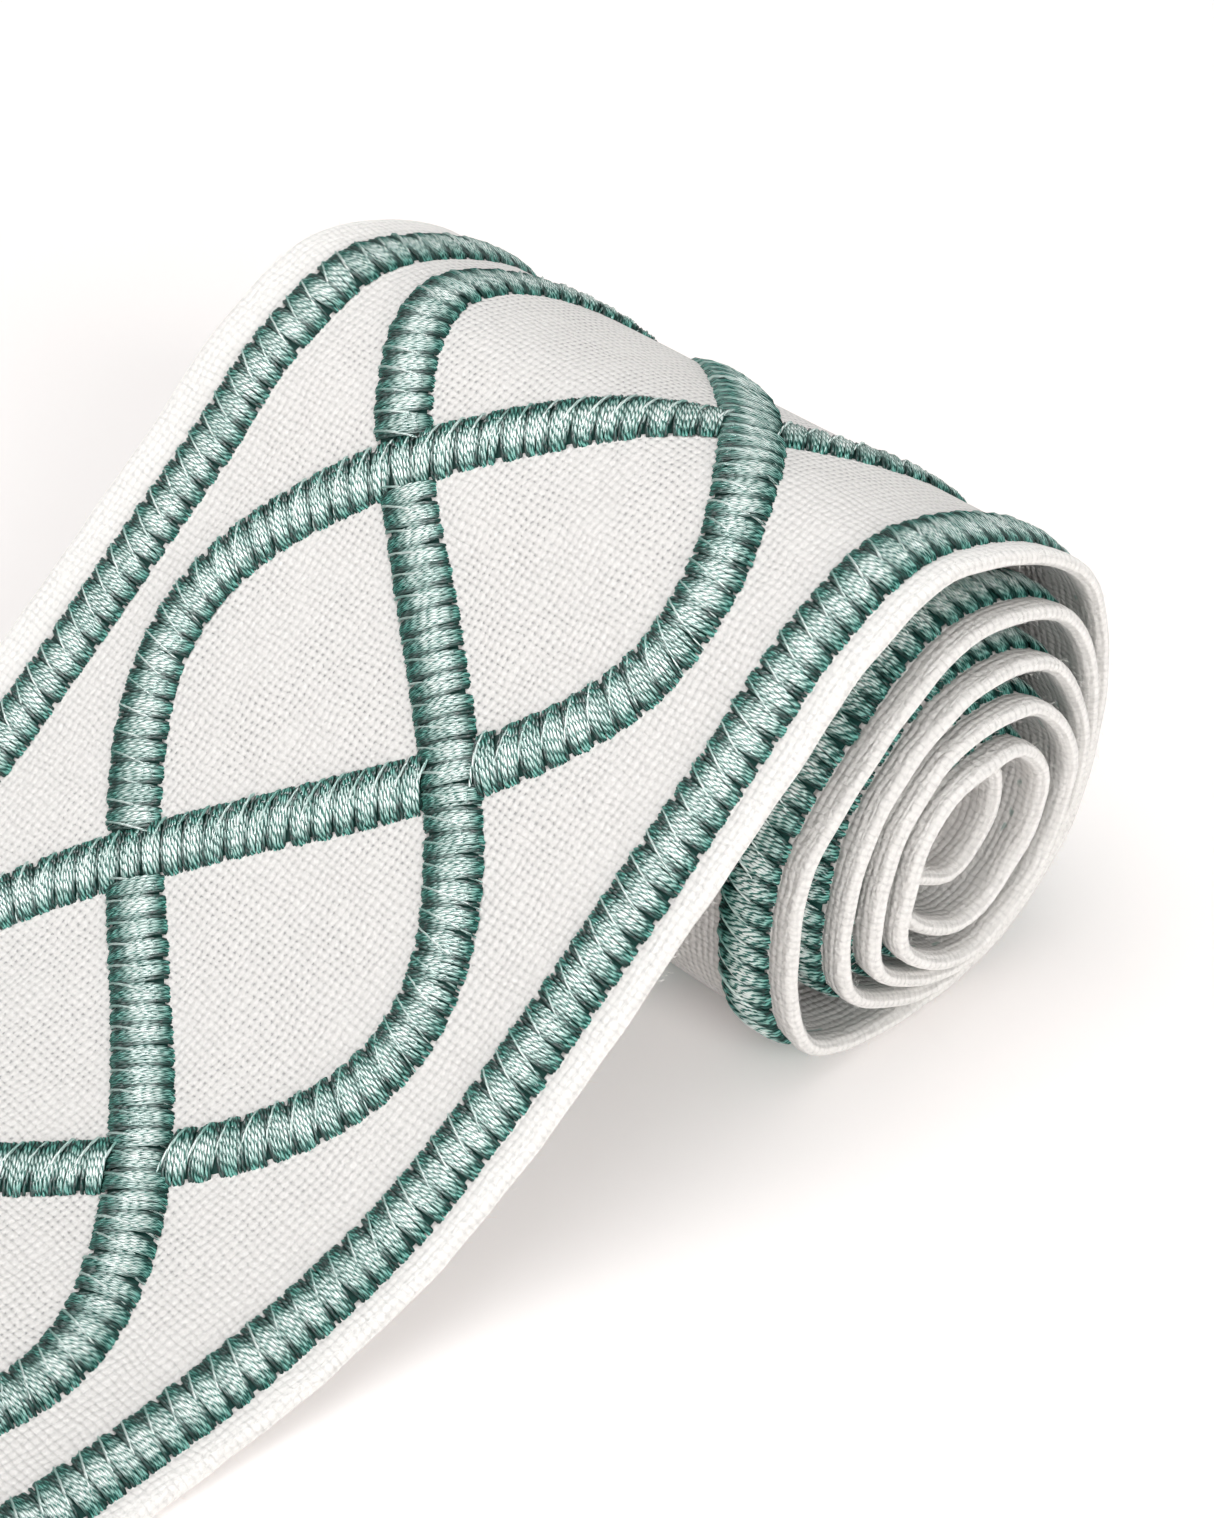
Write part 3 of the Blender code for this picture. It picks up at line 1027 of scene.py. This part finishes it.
# %% Laying the threads
THREAD_LEAN = 0.08
BUNCH_LEAN = 0.16
LOWEST_THREAD = 0.9
HIGHEST_THREAD = 1.08
LENGTH_BY_HEIGHT = (0.3, 0.7)
LEAN_SEED = 10
HEIGHT_SEED = 20
BUNCH_SEED = 37.0


def bunches_passed(r):
    """How many bunches lie between a thread and the start of the line."""
    return r.calc("DIVIDE", r.read("run"), r.given("Bunch"))


def lean_of(r, seed):
    """How far a thread leans, by its own chance and by its bunch's."""
    own = r.product(r.minus(r.chance(0.0, 1.0, seed), 0.5), THREAD_LEAN)
    which_bunch = r.total(r.calc("FLOOR", bunches_passed(r)), r.product(r.given("Seed"), BUNCH_SEED))
    shared = r.put("ShaderNodeTexWhiteNoise", {"W": which_bunch}, noise_dimensions="1D").outputs["Value"]
    return r.total(own, r.product(r.minus(shared, 0.5), BUNCH_LEAN))


def lay_threads(r, line, thread, spacing, extra_slant, seed_step, lone, girth):
    """Copies of the thread, side by side along the line."""
    spots = r.put("GeometryNodeCurveToPoints", {"Curve": line, "Length": spacing}, mode="LENGTH").outputs
    run = r.product(r.put("GeometryNodeInputIndex").outputs[0], spacing)
    seed = r.total(r.given("Seed"), seed_step)
    points = r.note(spots["Points"], "run", run)
    points = r.note(points, "heading", spots["Tangent"], kind="FLOAT_VECTOR")
    points = r.note(points, "lone", lone)
    points = r.note(points, "dye", r.chance(0.0, 1.0, seed))

    slant = r.total(r.given("Slant"), extra_slant)
    axes = {"Primary Axis": spots["Tangent"], "Secondary Axis": UPRIGHT}
    forward = r.out("FunctionNodeAxesToRotation", axes, primary_axis="X", secondary_axis="Z")
    angle = r.total(slant, lean_of(r, r.total(seed, LEAN_SEED)))
    turn = r.out("FunctionNodeAxisAngleToRotation", {"Axis": UPRIGHT, "Angle": angle})
    turned = {"Rotation": forward, "Rotate By": turn}
    facing = r.out("FunctionNodeRotateRotation", turned, rotation_space="LOCAL")
    height = r.chance(LOWEST_THREAD, HIGHEST_THREAD, r.total(seed, HEIGHT_SEED))
    longer = r.calc("DIVIDE", 1.0, r.calc("COSINE", slant))
    length = r.product(longer, r.tuned(height, LENGTH_BY_HEIGHT))
    return r.scatter(points, thread, facing, r.vector(girth, length, height))


# %% [markdown]
# Each laid thread is then bent by where it lies in its bunch. Its ends are drawn towards the bunch's
# middle, and the outer threads of a bunch are a little shorter and lower. `notch` marks the wedge-shaped
# gap between two bunches, where the material paints shade. A thread that crosses alone isn't bent, but one
# of its ends is tucked in.

# %% Bending the threads
END_PULL = 2.2
WEDGE_NEAR = (-0.6, 0.98)
WEDGE_FAR = -1.05
WEDGE_FADE = 0.28
LONE_TUCK = 0.5


def notch_between(r, off_middle, near_side, far_side):
    """Where the material paints shade: one in the wedge between two bunches, wider at the ends of the
    threads.
    """
    wedge_from = r.calc("MULTIPLY_ADD", far_side, WEDGE_FAR, r.tuned(near_side, WEDGE_NEAR))
    return r.ramp(off_middle, wedge_from, r.total(wedge_from, WEDGE_FADE))


def bend_threads(r, laid, half, rise, lift, lone):
    """Shapes the bunches, and lays the threads on the cloth."""
    side = r.read("side")
    heading = r.read("heading", "FLOAT_VECTOR")
    in_bunch = r.product(r.minus(r.calc("FRACT", bunches_passed(r)), 0.5), 1.0 - lone)
    off_middle = r.calc("ABSOLUTE", r.product(in_bunch, 2.0))
    outermost = r.calc("POWER", off_middle, 2.0)
    far_side = r.calc("MAXIMUM", side, 0.0)
    near_side = r.calc("MAXIMUM", r.product(side, -1.0), 0.0)
    # The notch mark tells the thread material where to paint shade.
    laid = r.note(laid, "notch", notch_between(r, off_middle, near_side, far_side))
    laid = r.note(laid, "off_middle", off_middle)

    pull = r.calc("POWER", r.calc("ABSOLUTE", side), END_PULL)
    shift = r.product(in_bunch, r.given("Bunch"), pull, r.given("Draw in"), -1.0)
    inward = r.product(r.product(side, half), r.product(outermost, r.given("Narrow")))
    sink = r.product(outermost, r.given("Dip"), rise, r.read("up"))
    sink = r.total(sink, r.product(near_side, lone * LONE_TUCK * MM))
    height = r.minus(r.total(r.given("Foot height"), lift), sink)
    sideways = r.mix_up("CROSS_PRODUCT", heading, UPRIGHT)
    place = r.mix_up("ADD", r.here(), r.scaled(heading, shift))
    place = r.mix_up("ADD", place, r.scaled(sideways, inward))
    return r.move(laid, r.mix_up("ADD", place, r.vector(0.0, 0.0, height)))


# %% [markdown]
# The padding is a low bed under the threads, a little narrower and lower than they are. The whole recipe
# joins the threads and their bed, cuts off what is past the cut end of the tape, and rolls everything up.

# %% The satin-stitch recipe
BED_STEP = 1.2
BED_SHARE = 0.9
BED_FLOOR = -0.15
BED_SINK = 1.1
LONE_LIFT = 0.1
LONE_GIRTH = 0.6
LONE_SEED_STEP = 5
DYE_SHIFT = 0.01


def lay_padding(r, line, half, rise):
    """The bed of padding under a line."""
    ring = r.circle(12, 1.0)
    side, up, _ = r.split(r.here())
    wide = r.product(side, r.product(half, BED_SHARE))
    high = r.product(r.calc("MAXIMUM", up, BED_FLOOR), r.product(rise, -BED_SHARE))
    ring = r.move(ring, r.vector(wide, high, 0.0))
    spine = r.out("GeometryNodeSetCurveNormal", {"Curve": r.resample(line, BED_STEP * MM)}, mode="Z_UP")
    bed = r.smooth(r.sweep(spine, ring))
    x, y, z = r.split(r.here())
    sunk = r.minus(r.total(z, r.given("Foot height")), r.product(r.given("Thread radius"), BED_SINK))
    return r.dress(r.move(bed, r.vector(x, y, sunk)), r.given("Padding"))


def make_satin_recipe():
    r = Recipe("satin_stitch_line")
    for name, kind, default in SATIN_INPUTS:
        r.ask(name, kind, default)
    radius = r.given("Thread radius")
    half = r.minus(r.product(r.given("Width"), 0.5), radius)
    rise = r.minus(r.minus(r.given("Top height"), r.given("Foot height")), radius)
    line = draw_line(r)
    thread = draw_thread(r, half, rise)

    threads = lay_threads(r, line, thread, r.given("Pitch"), 0.0, 0, 0.0, 1.0)
    threads = bend_threads(r, threads, half, rise, 0.0, 0.0)
    alone = (r.given("Bunch"), r.given("Crossing slant"), LONE_SEED_STEP, 1.0, LONE_GIRTH)
    crossings = lay_threads(r, line, thread, *alone)
    crossings = bend_threads(r, crossings, half, rise, LONE_LIFT * MM, 1.0)
    threads = r.gather(threads, crossings)
    along_thread = r.total(r.read("along_thread"), r.product(r.read("dye"), DYE_SHIFT))
    thread_map = r.vector(along_thread, r.read("round_thread"), 0.0)
    threads = r.note(threads, "thread_map", thread_map, kind="FLOAT2", domain="CORNER")
    threads = r.dress(r.smooth(threads), r.given("Thread"))

    whole = r.gather(threads, lay_padding(r, line, half, rise))
    along, _, _ = r.split(r.here())
    beyond = r.calc("LESS_THAN", along, r.given("Cut end"))
    kept = r.out("GeometryNodeDeleteGeometry", {"Geometry": whole, "Selection": beyond}, domain="POINT")
    return r.finish(roll_up(r, kept, r.given("Route")))


# %% A satin-stitch line
satin_recipe = make_satin_recipe()


def satin_line(name, node, **values):
    """One line of satin stitch, which takes the place of one plain band."""
    piece = grow(name, satin_recipe, Route=tape_route, Thread=teal_thread, Padding=padding_shade, **values)
    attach(piece, BODY)
    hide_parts(node)
    return piece


def triangles_of(piece):
    piece.data.calc_loop_triangles()
    return len(piece.data.loop_triangles)


# %% [markdown]
# ## The borders
#
# Each border runs straight along its edge from the cut end to the inner end of the roll.

# %% Borders
BORDER_START = 0.4
BORDER_STOP = 0.8
BORDER_OVERHANG = 0.2
near_middle = BORDER_NEAR_INSET + BORDER_WIDTH / 2
far_middle = TAPE_WIDTH - BORDER_FAR_INSET - BORDER_WIDTH / 2
for place, centre, seed in (("near", near_middle, 3), ("far", far_middle, 4)):
    border = satin_line(
        f"border_{place}_stitches",
        f"satin_border_{place}",
        Start=BORDER_START * MM,
        End=(TAPE_LENGTH - BORDER_STOP) * MM,
        Centre=centre * MM,
        Width=(BORDER_WIDTH + BORDER_OVERHANG) * MM,
        Seed=seed,
    )
    print(border.name, triangles_of(border), "triangles")

# %% [markdown]
# ## The plait
#
# Three strands swing from side to side, a third of a repeat apart. Where two meet, the one that comes in
# from its outer bend passes over. The other is not stitched under it: the embroiderer stops at one side of
# the crossing and starts again at the other. So each stretch between two such stops is a line of its own.

# %% Plait
STOP_SHORT = 3.0
BEFORE_CUT_END = 4.0
PLAIT_OVERHANG = 0.1
half_repeat = PLAIT_REPEAT / 2
turn = 2 * math.pi / PLAIT_REPEAT
plait_triangles = 0
for strand, letter in enumerate("abc"):
    first_crossing = PLAIT_REPEAT * (1 / 12 - strand / PLAIT_STRANDS)
    phase = 2 * math.pi * strand / PLAIT_STRANDS
    slope = PLAIT_REACH * turn * math.cos(turn * first_crossing + phase)
    clear = STOP_SHORT / math.hypot(1.0, slope)
    node_clear = (PLAIT_WIDTH / 2 + CROSSING_GAP) / math.hypot(1.0, slope)
    number = 0
    under = first_crossing - half_repeat
    while under < FIRST_TURN_END:
        if under + half_repeat - node_clear >= CUT_END_GAP + PLAIT_WIDTH:
            number += 1
            piece = satin_line(
                f"strand_{letter}_{number}_stitches",
                f"plait_strand_{letter}_{number}",
                Start=max(under + clear, -BEFORE_CUT_END) * MM,
                End=(under + half_repeat - clear) * MM,
                Centre=TAPE_WIDTH / 2 * MM,
                Reach=PLAIT_REACH * MM,
                Repeat=PLAIT_REPEAT * MM,
                Phase=phase,
                Width=(PLAIT_WIDTH + PLAIT_OVERHANG) * MM,
                Seed=10 * (strand + 1) + number,
            )
            plait_triangles += triangles_of(piece)
        under += half_repeat
print("plait:", plait_triangles, "triangles")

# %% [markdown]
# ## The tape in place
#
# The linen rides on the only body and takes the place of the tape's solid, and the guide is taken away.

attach(linen_tape, BODY)
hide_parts("ground_tape")
bpy.data.objects.remove(tape_route)

# %% [markdown]
# ## Floor, light and camera
#
# The photograph is a product picture on white: soft light from above, from the left and from the front, a
# white surface and only a soft shadow. Three large soft lamps and a bright world give that. Three stronger
# lamps light nothing but gloss, so that the thread glints and the linen stays as it is.

# %% Floor
FLOOR_WHITE = (0.98, 0.945, 0.93, 1.0)
FLOOR_HALF = 3.0
FLOOR_CORNERS = ((-1, -1), (1, -1), (1, 1), (-1, 1))


def make_floor():
    mesh = bpy.data.meshes.new("floor")
    corners = [(x * FLOOR_HALF, y * FLOOR_HALF, 0.0) for x, y in FLOOR_CORNERS]
    mesh.from_pydata(corners, [], [(0, 1, 2, 3)])
    floor = bpy.data.objects.new("floor", mesh)
    bpy.context.scene.collection.objects.link(floor)
    paper = Finish("white_paper")
    paper.set_plain(Base_Color=FLOOR_WHITE, Roughness=0.9, Specular_IOR_Level=0.1)
    paper.set_plain(Emission_Color=FLOOR_WHITE, Emission_Strength=0.09)
    mesh.materials.append(paper.material)


make_floor()
print("floor", 2 * FLOOR_HALF, "m wide")

# %% Light
# name, place, size, power
SOFT_LAMPS = (
    ("key_softbox", (-0.05, 0.20, 1.1), 1.3, 5.3),
    ("left_softbox", (-1.1, 0.35, 0.75), 0.7, 2.2),
    ("front_softbox", (-0.25, -1.05, 0.5), 0.8, 9.6),
)
GLINT_LAMPS = (
    ("glint_0", (-0.12, 0.36, 1.0), 0.6, 110.0),
    ("glint_1", (-0.95, 0.38, 0.5), 0.5, 50.0),
    ("glint_2", (-0.8, -0.6, 0.4), 0.4, 35.0),
)
WORLD_WHITE = (1.0, 1.0, 1.0, 1.0)
WORLD_STRENGTH = 0.45


def make_lamp(name, place, size, power):
    """A round soft lamp that faces the origin."""
    lamp = bpy.data.lights.new(name, "AREA")
    lamp.shape = "DISK"
    lamp.size = size
    lamp.energy = power
    holder = bpy.data.objects.new(name, lamp)
    bpy.context.scene.collection.objects.link(holder)
    holder.location = place
    holder.rotation_euler = (-Vector(place)).to_track_quat("-Z", "Y").to_euler()
    return holder


def make_world():
    world = bpy.data.worlds.new("studio")
    world.use_nodes = True
    background = world.node_tree.nodes["Background"]
    background.inputs["Color"].default_value = WORLD_WHITE
    background.inputs["Strength"].default_value = WORLD_STRENGTH
    bpy.context.scene.world = world


for lamp in SOFT_LAMPS:
    make_lamp(*lamp)
for lamp in GLINT_LAMPS:
    make_lamp(*lamp).visible_diffuse = False
make_world()
bpy.context.scene.view_settings.view_transform = "Standard"
print(len(SOFT_LAMPS), "soft lamps,", len(GLINT_LAMPS), "lamps for gloss only")

# %% [markdown]
# The camera stands where the photograph's did: a long lens close to the tape, looking down by 37 degrees.

# %% Camera
CAMERA_FROM_AXIS = (-222.25, -184.31, 242.65)
CAMERA_TURN = -43.82
CAMERA_DOWN = 36.61
PHOTO_HEIGHT = 1518
PHOTO_FOCAL = 3799.4
SENSOR = 36.0
camera_data = bpy.data.cameras.new("camera")
camera_data.sensor_width = SENSOR
camera_data.lens = PHOTO_FOCAL / PHOTO_HEIGHT * SENSOR
camera_data.clip_start = 0.01
camera = bpy.data.objects.new("camera", camera_data)
camera.location = (np.array(CAMERA_FROM_AXIS) + SHIFT) * MM
camera.rotation_euler = (math.radians(90 - CAMERA_DOWN), 0.0, math.radians(CAMERA_TURN))
bpy.context.scene.collection.objects.link(camera)
bpy.context.scene.camera = camera
print("camera at", np.round(np.array(camera.location) / MM, 1), "mm, lens", round(camera_data.lens, 1))
